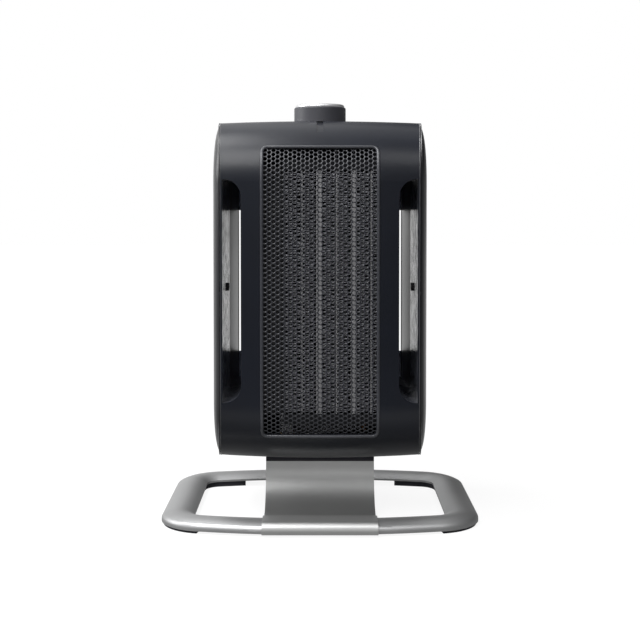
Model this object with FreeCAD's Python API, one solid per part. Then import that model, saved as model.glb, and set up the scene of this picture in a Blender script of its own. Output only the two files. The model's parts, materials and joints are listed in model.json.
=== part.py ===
import FreeCAD, Part
import math
import os

# Portable fan heater: an upright body with a ceramic heating element and a tall tangential
# blower, carried by a bent metal strip on an open oval ring.
# Millimetres, +Z up, front towards -Y, origin on the floor under the middle of the ring.

# Clearances
seat_gap = 0.3
slide_gap = 0.15
running_gap = 0.05
tool_reach = 12.0

# Base ring and its rubber pads
pad_height = 2.0
pad_inset = 1.5
pad_width = 22.5
rear_pad_end_x = 68.5
ring_half_width = 122.2
ring_half_depth = 97.0
ring_band = 25.5
ring_corner_r = 38.0
ring_bow_r = 430.0
ring_height = 8.3
ring_edge_r = 4.5
ring_edge_turn = 60.0
ring_crown_r = 21.0
ring_inner_rise = 2.4

# Stand strip, bent from one sheet over the front of the ring and up to the body
strip_width = 86.0
strip_thickness = 3.0
strip_proud = 0.5
strip_dip = 2.4
strip_fall = 3.5
strip_front_bend_r = 5.0
strip_drop_bend_r = 4.0
strip_dip_bend_r = 6.0
strip_rise_bend_r = 34.5
strip_flange_bend_r = 3.0
neck_face_y = -21.0
neck_seal_height = 5.2
neck_seal_depth = 3.0
neck_seal_lip = 1.0
flange_rear_inset = 1.0
strip_screw_spacing = 30.0
strip_screw_r = 2.0
strip_screw_head_r = 3.6
strip_screw_head_height = 2.0
strip_screw_bite = 1.6

# Body shell
body_bottom = 46.0
body_height = 264.0
body_front = -76.0
body_depth = 150.0
cover_half_width = 75.0
corner_r = 47.0
front_bow = 5.0
crown = 1.2
wall = 2.6
front_shell_depth = 84.0
shell_joint_gap = 0.4
seam_swell = 3.6

# Side panels
dome_start = 2.0
dome_rise = 5.6
dome_inset = 35.0
dome_angles = (28.0, 52.0, 74.0, 90.0)
panel_wall = 2.4
panel_post_r = 4.5
panel_screw_y = -19.0
panel_screw_r = 1.6
panel_screw_head_r = 3.2
panel_screw_head_height = 1.6
panel_screw_length = 7.0

# See-through side slots
slot_inner = 59.5
slot_rim = 1.2
slot_wall = 2.0
slot_corner_r = 13.5
slot_bottom_rise = 49.0
slot_top_drop = 46.0
rear_slot_bottom_rise = 22.7
rear_slot_top_drop = 24.0
rear_slot_lip = 3.6
rear_slot_corner_r = 9.0

# Screws that hold the two shell halves together
boss_x = 65.0
boss_offset = 15.0
boss_r = 5.6
cover_screw_r = 1.9
cover_screw_head_r = 3.6
cover_screw_head_height = 2.6
cover_screw_land = 14.0
cover_screw_bite = 20.0

# Screws through the strip's flange into the support plate
flange_screw_x = 30.0
flange_screw_front_y = -8.0
flange_screw_rear_inset = 11.0
flange_screw_r = 2.0
flange_screw_head_r = 4.0
flange_screw_head_height = 2.5
support_half_width = 53.0
support_front_y = -24.0
support_rear_overhang = 3.0
support_thickness = 2.0

# Front grille and its bezel
bezel_half_width = 45.0
bezel_bottom_rise = 22.0
bezel_top_drop = 20.5
bezel_corner_r = 5.5
bezel_rim = 2.4
bezel_proud = 0.8
bezel_depth = 14.0
grille_recess = 2.2
grille_thickness = 1.2
grille_pitch = 5.0
grille_hole_r = 1.9
grille_margin = 1.6

# Rear intake grille
intake_half_width = 44.0
intake_bottom_rise = 64.0
intake_top_drop = 50.0
intake_corner_r = 8.0
intake_thickness = 2.4
intake_sunk = 2.2
intake_slot_height = 4.0
intake_slot_pitch = 7.0
intake_rib_width = 4.0
intake_columns = 3
intake_margin = 6.0
intake_ledge = 3.0

# Cord gland in the rear cover, empty
gland_x = 30.0
gland_rise = 52.0
gland_r = 6.5
gland_flange_r = 9.0
gland_flange_thickness = 2.0
gland_bore_r = 3.6
gland_length = 10.0

# Control on top
knob_y = -1.0
knob_r = 20.75
knob_lift = 0.6
knob_height = 12.1
knob_edge_r = 1.2
knob_recess_r = 12.0
knob_recess_depth = 4.0
cap_r = 19.6
cap_height = 2.3
cap_edge_r = 1.9
cap_mark_width = 2.0
cap_mark_length = 9.0
cap_mark_depth = 0.6
switch_shaft_r = 3.0
switch_shaft_engagement = 10.0
switch_shaft_depth = 11.0
switch_bush_r = 5.0
switch_size_x = 32.0
switch_size_y = 28.0
switch_size_z = 17.0
nut_across = 14.0
nut_height = 2.4
pointer_width = 5.0
pointer_depth = 1.6
pointer_drop = 10.0

# Air passage, element and blower plates
air_bottom_rise = 39.0
air_top_drop = 39.0
element_left = -27.0
element_pitch = 13.2
element_columns = 6
element_front = -60.0
element_depth = 16.0
rail_thickness = 1.5
bar_thickness = 4.5
separator_thickness = 1.0
holder_height = 8.0
holder_overhang = 1.0
fin_pitch = 6.0
fin_thickness = 0.35
fin_gap = 0.1
terminal_width = 6.3
terminal_thickness = 0.8
terminal_height = 9.0
cutout_r = 8.0
cutout_height = 7.0
cutout_cap_r = 5.0
cutout_cap_height = 3.0

# Tangential blower
blower_front = -42.0
wheel_x = -6.0
wheel_setback = 92.0
wheel_r = 28.0
wheel_end_gap = 3.0
wheel_disc = 2.0
blade_count = 24
blade_depth = 7.5
blade_thickness = 1.2
blade_lean = 28.0
hub_r = 7.0
hub_height = 9.0
shaft_r = 2.5
scroll_r = 42.0
scroll_drop = 10.0
scroll_gap = 2.5
duct_wall = 1.5
tongue_gap = 2.0
tongue_thickness = 2.0
plate_thickness = 3.0
plate_half_width = 56.0
plate_rear_margin = 2.0
post_x = 48.0
post_front_y = -18.0
post_rear_inset = 5.0
post_r = 3.5
bush_r = 6.0
bush_height = 6.0
bush_holder_r = 10.0

# Shaded-pole motor under the blower
motor_stack = 14.0
motor_half_width = 20.0
motor_head = 22.0
rotor_r = 12.0
air_gap = 0.5
window_start = 17.0
window_width = 13.0
window_half = 13.0
leg_width = 9.0
coil_build = 4.5
coil_margin = 0.6
bracket_width = 14.0
bracket_thickness = 2.5
bracket_foot = 5.0
bracket_upper_lift = 6.0
bracket_lower_drop = 4.0

# Tip-over switch: a weight that hangs from a pin
tip_x = -26.0
tip_y = -16.0
tip_length = 26.0
tip_width = 16.0
tip_plate = 2.0
tip_ear_width = 9.0
tip_pin_height = 24.5
tip_ear_top = 4.5
tip_pin_r = 1.5
bob_r = 6.0
bob_width = 9.0
bob_arm = 16.0
bob_eye_r = 4.0
bob_arm_width = 4.0

# Mains terminal block
block_x = 26.0
block_y = -15.0
block_length = 24.0
block_width = 13.0
block_height = 11.0
block_poles = 3
block_hole_r = 2.0
block_hole_depth = 6.0

# Sizes that follow
X_AXIS = FreeCAD.Vector(1, 0, 0)
Y_AXIS = FreeCAD.Vector(0, 1, 0)
Z_AXIS = FreeCAD.Vector(0, 0, 1)
ORIGIN = FreeCAD.Vector(0, 0, 0)
body_top = body_bottom + body_height
body_rear = body_front + body_depth
body_middle_y = (body_front + body_rear) / 2
split_y = body_front + front_shell_depth
slot_outer = cover_half_width - slot_rim
slot_bottom = body_bottom + slot_bottom_rise
slot_top = body_top - slot_top_drop
core_inner = slot_inner - slot_wall
panel_screw_z = (slot_bottom + slot_top) / 2
support_bottom = (
    body_bottom + wall + crown * (support_half_width / cover_half_width) ** 2 + seat_gap
)
support_top = support_bottom + support_thickness
support_rear_y = body_rear - corner_r + support_rear_overhang
flange_rear_y = support_rear_y - flange_rear_inset
flange_screw_rear_y = support_rear_y - flange_screw_rear_inset
post_rear_y = support_rear_y - post_rear_inset
wheel_y = body_front + wheel_setback
strip_flange_top = body_bottom - seat_gap / 2
air_bottom = body_bottom + air_bottom_rise
air_top = body_top - air_top_drop
element_rear = element_front + element_depth
element_middle_y = (element_front + element_rear) / 2
knob_bottom = body_top + knob_lift
knob_top = knob_bottom + knob_height
switch_top = body_top - wall - seat_gap
ring_top = pad_height + ring_height


def vec(x, y, z):
    """Point or direction in space."""
    return FreeCAD.Vector(x, y, z)


def box(x0, x1, y0, y1, z0, z1):
    """Block between two corners."""
    return Part.makeBox(x1 - x0, y1 - y0, z1 - z0, vec(x0, y0, z0))


def rod(radius, start, axis, length):
    """Round bar from a start point along an axis."""
    return Part.makeCylinder(radius, length, start, axis)


def tube(radius, bore, start, axis, length):
    """Round bar with a through bore."""
    return rod(radius, start, axis, length).cut(rod(bore, start, axis, length))


def mirrored(shape):
    """The same shape on the other side of the middle plane."""
    return shape.mirror(ORIGIN, X_AXIS)


def save(name, *solids):
    """Write one node, a single solid or a group of separate ones."""
    shape = solids[0] if len(solids) == 1 else Part.makeCompound(list(solids))
    shape.exportStep(os.path.join("parts", name + ".step"))


def line(start, end):
    """Straight edge."""
    return Part.LineSegment(start, end).toShape()


def arc(start, middle, end):
    """Round edge through three points."""
    return Part.Arc(start, middle, end).toShape()


def polygon_face(points):
    """Flat face inside a closed row of points."""
    return Part.Face(Part.makePolygon(points + points[:1]))


def in_xz(y):
    """Places flat coordinates in the upright plane at one y."""
    return lambda a, b: vec(a, y, b)


def in_yz(x):
    """Places flat coordinates in the side plane at one x."""
    return lambda a, b: vec(x, a, b)


def rounded_wire(low, high, radii, place):
    """Closed rectangle whose corners, from the lower left one round, have their own radii."""
    corners = (
        (low[0], low[1], 1, 1, 180),
        (high[0], low[1], -1, 1, 270),
        (high[0], high[1], -1, -1, 0),
        (low[0], high[1], 1, -1, 90),
    )
    bends = []
    for (a, b, to_a, to_b, angle), radius in zip(corners, radii):
        centre_a = a + to_a * radius
        centre_b = b + to_b * radius
        turn = [math.radians(angle + step) for step in (0, 45, 90)]
        bends.append(
            [place(centre_a + radius * math.cos(t), centre_b + radius * math.sin(t)) for t in turn]
        )
    edges = []
    for index, bend in enumerate(bends):
        if radii[index] > 0:
            edges.append(arc(*bend))
        following = bends[(index + 1) % len(bends)]
        edges.append(line(bend[2], following[0]))
    return Part.Wire(edges)


def upright_prism(low, high, radii, y0, y1):
    """Rounded rectangle seen from the front, extruded from y0 to y1."""
    wire = rounded_wire(low, high, radii, in_xz(y0))
    return Part.Face(wire).extrude(vec(0, y1 - y0, 0))


def side_of_path(points, radii, shift):
    """Lines and arcs of a bent path, moved to its left by a shift."""
    heads = []
    for start, end in zip(points, points[1:]):
        length = math.hypot(end[0] - start[0], end[1] - start[1])
        heads.append(((end[0] - start[0]) / length, (end[1] - start[1]) / length))
    pieces = []
    position = (points[0][0] - shift * heads[0][1], points[0][1] + shift * heads[0][0])
    for index, radius in enumerate(radii):
        before = heads[index]
        after = heads[index + 1]
        corner = points[index + 1]
        turn = math.atan2(
            before[0] * after[1] - before[1] * after[0],
            before[0] * after[0] + before[1] * after[1],
        )
        side = math.copysign(1, turn)
        reach = radius * math.tan(abs(turn) / 2)
        centre = (
            corner[0] - reach * before[0] - side * radius * before[1],
            corner[1] - reach * before[1] + side * radius * before[0],
        )
        moved = radius - side * shift
        first = math.atan2(-side * before[0], side * before[1])
        bend = [
            (centre[0] + moved * math.cos(first + turn * share),
             centre[1] + moved * math.sin(first + turn * share))
            for share in (0, 0.5, 1)
        ]
        pieces.append((position, bend[0]))
        pieces.append(tuple(bend))
        position = bend[2]
    last = heads[-1]
    pieces.append((position, (points[-1][0] - shift * last[1], points[-1][1] + shift * last[0])))
    return pieces


def bent_sheet(points, radii, thickness, place, sweep):
    """Sheet of even thickness bent along a path and extruded by a sweep."""
    left = side_of_path(points, radii, thickness / 2)
    right = side_of_path(points, radii, -thickness / 2)
    pieces = left + [(left[-1][-1], right[-1][-1])]
    pieces += [tuple(reversed(piece)) for piece in reversed(right)]
    pieces.append((right[0][0], left[0][0]))
    edges = []
    for piece in pieces:
        corners = [place(*corner) for corner in piece]
        edges.append(arc(*corners) if len(corners) == 3 else line(*corners))
    return Part.Face(Part.Wire(edges)).extrude(sweep)


# Base


def ring_corner():
    """Centre of the front right corner's round and the angle that the front bow takes."""
    centre_x = ring_half_width - ring_corner_r
    distance = ring_bow_r - ring_corner_r
    centre_y = ring_bow_r - ring_half_depth - math.sqrt(distance ** 2 - centre_x ** 2)
    bow = math.degrees(math.asin(centre_x / distance))
    return centre_x, centre_y, bow


def ring_section(place):
    """Cross-section of the ring: upright rim, round edge, crown, and an underside that rises inwards."""
    turn = math.radians(ring_edge_turn)
    shoulder_in = ring_edge_r * (1 - math.cos(turn))
    shoulder_z = ring_top - ring_crown_r * (1 - math.sin(turn))
    rim_z = shoulder_z - ring_edge_r * math.sin(turn)
    crest_in = shoulder_in + ring_crown_r * math.cos(turn)
    reach = ring_band - crest_in
    inner_z = ring_top - ring_crown_r + math.sqrt(ring_crown_r ** 2 - reach ** 2)
    outer_foot = place(0, pad_height)
    rim = place(0, rim_z)
    edge = place(ring_edge_r * (1 - math.cos(turn / 2)), rim_z + ring_edge_r * math.sin(turn / 2))
    shoulder = place(shoulder_in, shoulder_z)
    crest = place(crest_in, ring_top)
    inner = place(ring_band, inner_z)
    inner_foot = place(ring_band, pad_height + ring_inner_rise)
    return Part.Face(Part.Wire([
        line(outer_foot, rim),
        arc(rim, edge, shoulder),
        arc(shoulder, crest, inner),
        line(inner, inner_foot),
        line(inner_foot, outer_foot),
    ]))


def pad_section(place):
    """Cross-section of a rubber pad, up to the ring's sloping underside."""
    pad_end = pad_inset + pad_width
    slope = ring_inner_rise / ring_band
    return polygon_face([
        place(pad_inset, 0),
        place(pad_end, 0),
        place(pad_end, pad_height + slope * pad_end),
        place(pad_inset, pad_height + slope * pad_inset),
    ])


def turned(section, centre, radius, start, sweep):
    """Section turned about an upright axis, measured inwards from a radius."""
    angle = math.radians(start)
    heading = vec(math.cos(angle), math.sin(angle), 0)

    def place(inwards, z):
        return centre + heading * (radius - inwards) + Z_AXIS * z

    return section(place).revolve(centre, Z_AXIS, sweep)


def build_ring():
    """Ring of tangent bows, corners and straight sides, with a lower core under the strip."""
    centre_x, centre_y, bow = ring_corner()
    bow_centre = vec(0, ring_bow_r - ring_half_depth, 0)
    front_right = vec(centre_x, centre_y, 0)
    front = turned(ring_section, bow_centre, ring_bow_r, -90 - bow, 2 * bow)
    corner = turned(ring_section, front_right, ring_corner_r, bow - 90, 90 - bow)
    half = front.fuse([corner, mirrored(corner)])
    side = ring_section(lambda inwards, z: vec(ring_half_width - inwards, centre_y, z))
    straight = side.extrude(vec(0, -2 * centre_y, 0))
    rear = half.mirror(ORIGIN, Y_AXIS)
    ring = half.fuse([rear, straight, mirrored(straight)])

    half_cut = strip_width / 2 + slide_gap
    cut_rear = ring_band - ring_half_depth + tool_reach / 2
    ring = ring.cut(box(-half_cut, half_cut, -ring_half_depth - tool_reach, cut_rear,
                        0, ring_top + tool_reach))
    core_front = -ring_half_depth - strip_proud + strip_thickness + seat_gap
    core_rear = ring_band - ring_half_depth - strip_fall - strip_thickness
    core_top = ring_top + strip_proud - strip_thickness - seat_gap
    core_r = strip_front_bend_r - strip_thickness / 2
    core = Part.Face(rounded_wire((core_front, pad_height), (core_rear, core_top),
                                  [0, 0, 0, core_r], in_yz(-half_cut)))
    core = core.extrude(vec(2 * half_cut, 0, 0))
    ring = ring.fuse(core).removeSplitter()
    for x in strip_screw_places():
        foot = vec(x, strip_screw_y(), pad_height)
        ring = ring.cut(rod(strip_screw_r + slide_gap, foot, Z_AXIS, ring_height))
        ring = ring.cut(rod(strip_screw_head_r + seat_gap, foot, Z_AXIS,
                            strip_screw_head_height))
    save("base_ring", ring)


def build_pads():
    """Rubber pads under the corners; the rear ones run on along the rear bow."""
    centre_x, centre_y, bow = ring_corner()
    front_right = vec(centre_x, centre_y, 0)
    front_pad = turned(pad_section, front_right, ring_corner_r, bow - 90, 90 - bow)
    bow_centre = vec(0, ring_half_depth - ring_bow_r, 0)
    pad_end = math.degrees(math.asin(rear_pad_end_x / ring_bow_r))
    tail = turned(pad_section, bow_centre, ring_bow_r, 90 - bow, bow - pad_end)
    rear_pad = front_pad.mirror(ORIGIN, Y_AXIS).fuse(tail).removeSplitter()
    save("base_pads", front_pad, mirrored(front_pad), rear_pad, mirrored(rear_pad))


def strip_screw_places():
    """Sideways places of the screws that hold the strip to the ring."""
    return [-strip_screw_spacing, 0, strip_screw_spacing]


def strip_screw_y():
    """Middle of the ring's front bar under the strip."""
    return ring_band / 2 - ring_half_depth


def build_strip():
    """Strip from the front rim of the ring, over it, down, and up to a flange under the body.

    A soft seal fills the corner between its upper bend and the body.
    """
    half = strip_thickness / 2
    front_y = half - ring_half_depth - strip_proud
    over_z = ring_top + strip_proud - half
    drop_y = ring_band - ring_half_depth - strip_fall + half
    dip_z = strip_dip + half
    neck_y = neck_face_y + half
    flange_z = strip_flange_top - half
    dip_y = drop_y + strip_fall
    room_up = flange_z - strip_flange_bend_r - dip_z
    room_along = neck_y - dip_y - strip_dip_bend_r
    rise_r = min(strip_rise_bend_r, room_up, room_along)
    points = [
        (front_y, pad_height),
        (front_y, over_z),
        (drop_y, over_z),
        (dip_y, dip_z),
        (neck_y, dip_z),
        (neck_y, flange_z),
        (flange_rear_y, flange_z),
    ]
    radii = [strip_front_bend_r, strip_drop_bend_r, strip_dip_bend_r, rise_r, strip_flange_bend_r]
    strip = bent_sheet(points, radii, strip_thickness, in_yz(-strip_width / 2),
                       vec(strip_width, 0, 0))
    under = ring_top + strip_proud - strip_thickness
    screws = []
    for x in strip_screw_places():
        foot = vec(x, strip_screw_y(), pad_height)
        head = rod(strip_screw_head_r, foot, Z_AXIS, strip_screw_head_height)
        shank = rod(strip_screw_r, foot, Z_AXIS, under - pad_height + strip_screw_bite)
        strip = strip.cut(shank)
        screws.append(head.fuse(shank))
    for place in flange_screw_places():
        strip = strip.cut(rod(flange_screw_r + slide_gap,
                              place + vec(0, 0, strip_flange_top - 2 * strip_thickness),
                              Z_AXIS, 3 * strip_thickness))
    seal_front = neck_face_y - neck_seal_lip
    seal = box(-strip_width / 2, strip_width / 2, seal_front, seal_front + neck_seal_depth,
               strip_flange_top - neck_seal_height, strip_flange_top)
    save("stand_strip", strip)
    save("strip_screws", *screws)
    save("neck_seal", seal.cut(strip))


def flange_screw_places():
    """Places, at floor height, of the screws through the strip's flange."""
    rows = (flange_screw_front_y, flange_screw_rear_y)
    return [vec(x, y, 0) for x in (-flange_screw_x, flange_screw_x) for y in rows]


def build_support():
    """Plate on the body's floor, its screws from below, and the posts of the blower."""
    plate = box(-support_half_width, support_half_width, support_front_y, support_rear_y,
                support_bottom, support_top)
    seat = strip_flange_top - strip_thickness
    screws = []
    for place in flange_screw_places():
        head = rod(flange_screw_head_r, place + vec(0, 0, seat - flange_screw_head_height),
                   Z_AXIS, flange_screw_head_height)
        shank = rod(flange_screw_r, place + vec(0, 0, seat), Z_AXIS, support_top - seat)
        plate = plate.cut(shank)
        screws.append(head.fuse(shank))
    save("support_plate", plate)
    save("flange_screws", *screws)
    post_top = air_bottom - plate_thickness
    posts = [
        rod(post_r, vec(x, y, support_top), Z_AXIS, post_top - support_top)
        for x in (-post_x, post_x)
        for y in (post_front_y, post_rear_y)
    ]
    save("blower_posts", *posts)


# Body shell


def body_section(x, inset):
    """Side outline of the body at one x, moved inwards by an inset."""
    share = (x / cover_half_width) ** 2
    back = front_bow * share + inset
    down = crown * share + inset
    low = (body_front + back, body_bottom + down)
    high = (body_rear - back, body_top - down)
    return rounded_wire(low, high, [corner_r - inset] * 4, in_yz(x))


def body_form(inset):
    """Barrel-shaped solid of the body, past the seam of the side panels."""
    reach = cover_half_width + seam_swell + dome_start
    stations = (-reach, -reach / 2, 0, reach / 2, reach)
    return Part.makeLoft([body_section(x, inset) for x in stations], True, False)


def seam_prism(outwards):
    """Upright block between the two bowed seams of the side panels."""
    half_depth = body_depth / 2
    reach = half_depth + tool_reach
    widest = cover_half_width + seam_swell + outwards
    edge = widest - seam_swell * (reach / half_depth) ** 2
    low = body_bottom - tool_reach
    front = body_middle_y - reach
    rear = body_middle_y + reach
    wire = Part.Wire([
        line(vec(-edge, front, low), vec(edge, front, low)),
        arc(vec(edge, front, low), vec(widest, body_middle_y, low), vec(edge, rear, low)),
        line(vec(edge, rear, low), vec(-edge, rear, low)),
        arc(vec(-edge, rear, low), vec(-widest, body_middle_y, low), vec(-edge, front, low)),
    ])
    return Part.Face(wire).extrude(vec(0, 0, body_height + 2 * tool_reach))


def slot_prism(grow, outer, corner, bottom, top, y0, y1):
    """Right-hand side slot up to an outer edge, with rounded inner corners, grown by a wall."""
    inner_r = corner + grow
    low = (slot_inner - grow, bottom - grow)
    high = (outer, top + grow)
    return upright_prism(low, high, [inner_r, 0, 0, inner_r], y0, y1)


def boss_places():
    """Places, seen from the front, of the bosses that join the shell halves."""
    levels = (slot_bottom - boss_offset, slot_top + boss_offset)
    return [(x, z) for x in (-boss_x, boss_x) for z in levels]


def aperture(half_width, low_z, high_z, radius, y0, y1):
    """Rounded opening centred on the middle plane."""
    return upright_prism((-half_width, low_z), (half_width, high_z), [radius] * 4, y0, y1)


def build_shell():
    """Front and rear covers with bosses, screws and openings."""
    before = body_front - tool_reach
    behind = body_rear + tool_reach
    outer = body_form(0).common(seam_prism(0))
    cavity = body_form(wall).cut([rod(boss_r, vec(x, before, z), Y_AXIS, behind - before)
                                  for x, z in boss_places()])
    shell = outer.cut(cavity)

    side = 2 * cover_half_width
    low = body_bottom - tool_reach
    high = body_top + tool_reach
    front = shell.common(box(-side, side, before, split_y, low, high))
    rear = shell.common(box(-side, side, split_y + shell_joint_gap, behind, low, high))

    open_front = slot_prism(0, slot_outer, slot_corner_r, slot_bottom, slot_top, before, split_y)
    open_rear = slot_prism(0, slot_outer - rear_slot_lip, rear_slot_corner_r,
                           slot_bottom + rear_slot_bottom_rise, slot_top - rear_slot_top_drop,
                           split_y, behind)
    front = front.cut([open_front, mirrored(open_front)])
    rear = rear.cut([open_rear, mirrored(open_rear)])

    front = front.cut(aperture(bezel_half_width + slide_gap,
                               body_bottom + bezel_bottom_rise - slide_gap,
                               body_top - bezel_top_drop + slide_gap,
                               bezel_corner_r + slide_gap, before, before + body_depth / 2))
    front = front.cut(rod(switch_bush_r + slide_gap,
                          vec(0, knob_y, body_top - tool_reach), Z_AXIS, 2 * tool_reach))
    groove = body_form(-seat_gap).cut(body_form(pointer_depth)).common(
        box(-pointer_width / 2, pointer_width / 2, before, knob_y - knob_r,
            body_top - pointer_drop, high))
    front = front.cut(groove)

    rear = rear.cut(aperture(intake_half_width + slide_gap,
                             body_bottom + intake_bottom_rise - slide_gap,
                             body_top - intake_top_drop + slide_gap,
                             intake_corner_r + slide_gap, body_middle_y, behind))
    rear = rear.cut(rod(gland_r + slide_gap, vec(gland_x, split_y, body_bottom + gland_rise),
                        Y_AXIS, behind - split_y))

    for place in flange_screw_places():
        hole = rod(flange_screw_r + slide_gap, place + vec(0, 0, low), Z_AXIS, 2 * tool_reach)
        front = front.cut(hole)
        rear = rear.cut(hole)

    head_y = split_y + cover_screw_land
    screws = []
    for x, z in boss_places():
        tip = vec(x, split_y - cover_screw_bite, z)
        bite = rod(cover_screw_r, tip, Y_AXIS, head_y - tip.y)
        front = front.cut(bite)
        rear = rear.cut(rod(cover_screw_r + slide_gap, tip, Y_AXIS, head_y - tip.y))
        rear = rear.cut(rod(cover_screw_head_r + seat_gap, vec(x, head_y, z), Y_AXIS,
                            behind - head_y))
        head = rod(cover_screw_head_r, vec(x, head_y, z), Y_AXIS, cover_screw_head_height)
        screws.append(bite.fuse(head))

    save("front_cover", front)
    save("rear_cover", rear)
    save("cover_screws", *screws)


def build_slot_liners():
    """Linings of the side slots, parted like the covers; the rear ones narrow to the rear."""
    before = body_front - tool_reach
    behind = body_rear + tool_reach
    liner = slot_prism(slot_wall, cover_half_width, slot_corner_r, slot_bottom, slot_top,
                       before, behind)
    liner = liner.cut(slot_prism(0, slot_outer, slot_corner_r, slot_bottom, slot_top,
                                 before, behind))
    liner = liner.common(body_form(wall + slide_gap))
    low = (slot_inner - 2 * slot_wall, slot_bottom - 2 * slot_wall)
    high = (cover_half_width + slot_wall, slot_top + 2 * slot_wall)
    square = [0] * 4
    front = liner.common(upright_prism(low, high, square, before, split_y))
    rear = liner.common(upright_prism(low, high, square, split_y + shell_joint_gap, behind))
    taper = polygon_face([
        vec(slot_outer, split_y + shell_joint_gap, slot_bottom),
        vec(slot_outer, body_rear, slot_bottom),
        vec(slot_outer - rear_slot_lip, body_rear, slot_bottom),
    ]).extrude(vec(0, 0, slot_top - slot_bottom))
    rear = rear.fuse(taper.common(body_form(wall + slide_gap))).removeSplitter()
    hole_start = vec(slot_outer - slot_rim, panel_screw_y, panel_screw_z)
    front = front.cut(rod(panel_screw_r + slide_gap, hole_start, X_AXIS, 3 * slot_rim))
    save("right_front_liner", front)
    save("left_front_liner", mirrored(front))
    save("right_rear_liner", rear)
    save("left_rear_liner", mirrored(rear))


def dome_form(shrink):
    """Domed side of the body, shrunk by a wall."""
    start = cover_half_width + dome_start
    rise = dome_rise - shrink
    stations = [(cover_half_width - seam_swell - shrink, 0), (start, 0)]
    for angle in dome_angles:
        turn = math.radians(angle)
        stations.append((start + rise * math.sin(turn), dome_inset * (1 - math.cos(turn))))
    return Part.makeLoft([body_section(x, inset + shrink) for x, inset in stations], True, False)


def build_side_panels():
    """Domed panels on the two sides, each with a post for its screw in the slot."""
    post_start = vec(cover_half_width, panel_screw_y, panel_screw_z)
    post = rod(panel_post_r, post_start, X_AXIS, dome_start + dome_rise)
    dome = dome_form(0)
    panel = dome.cut(dome_form(panel_wall)).cut(seam_prism(seat_gap))
    panel = panel.fuse(post.common(dome))
    seat = vec(slot_outer, panel_screw_y, panel_screw_z)
    shank = rod(panel_screw_r, seat, X_AXIS, panel_screw_length)
    head = rod(panel_screw_head_r, seat - X_AXIS * panel_screw_head_height, X_AXIS,
               panel_screw_head_height)
    panel = panel.cut(shank)
    screw = head.fuse(shank)
    save("right_side_panel", panel)
    save("left_side_panel", mirrored(panel))
    save("side_panel_screws", screw, mirrored(screw))


# Grilles and gland


def lattice(half_width, low, high, pitch):
    """Centres of a triangular pattern of holes inside a rectangle, even about its middle."""
    column_step = pitch * math.sqrt(3) / 2
    columns = int(half_width / column_step)
    middle = (low + high) / 2
    places = []
    for column in range(-columns, columns + 1):
        offset = pitch / 2 if column % 2 else 0
        rows = int(((high - low) / 2 - offset) / pitch)
        first = -rows - 1 if offset else -rows
        for row in range(first, rows + 1):
            places.append((column * column_step, middle + row * pitch + offset))
    return places


def build_front_grille():
    """Perforated plate with rolled ends, inside a bezel that follows the front cover."""
    low = body_bottom + bezel_bottom_rise
    high = body_top - bezel_top_drop
    before = body_front - tool_reach
    bezel_rear = body_front + bezel_depth
    bezel = aperture(bezel_half_width, low, high, bezel_corner_r, before, bezel_rear)
    bezel = bezel.cut(aperture(bezel_half_width - bezel_rim, low + bezel_rim, high - bezel_rim,
                               bezel_corner_r - bezel_rim, before, bezel_rear))
    save("grille_bezel", bezel.common(body_form(-bezel_proud)))

    half = bezel_half_width - bezel_rim - slide_gap
    plate_low = low + bezel_rim + slide_gap
    plate_high = high - bezel_rim - slide_gap
    bend_low = body_bottom + corner_r
    bend_high = body_top - corner_r
    face_y = body_front + grille_recess
    rim = Part.makePolygon([vec(-half, face_y, bend_low), vec(half, face_y, bend_low),
                            vec(half, face_y, bend_high), vec(-half, face_y, bend_high),
                            vec(-half, face_y, bend_low)])
    edge = grille_margin + grille_hole_r
    holes = [
        Part.Wire(Part.makeCircle(grille_hole_r, vec(x, face_y, z), Y_AXIS))
        for x, z in lattice(half - edge, bend_low + edge, bend_high - edge, grille_pitch)
    ]
    sheet = Part.makeFace([rim] + holes, "Part::FaceMakerBullseye")
    plate = sheet.extrude(vec(0, grille_thickness, 0))
    bend_y = body_front + corner_r
    bend_r = corner_r - grille_recess
    for bend_z, end_low, end_high in ((bend_high, bend_high, plate_high),
                                      (bend_low, plate_low, bend_low)):
        roll = tube(bend_r, bend_r - grille_thickness, vec(-half, bend_y, bend_z), X_AXIS,
                    2 * half)
        plate = plate.fuse(roll.common(box(-half, half, body_front, bend_y, end_low, end_high)))
    window = aperture(half, plate_low, plate_high, bezel_corner_r - bezel_rim,
                      before, before + body_depth / 2)
    save("front_grille", plate.removeSplitter().common(window))


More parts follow.
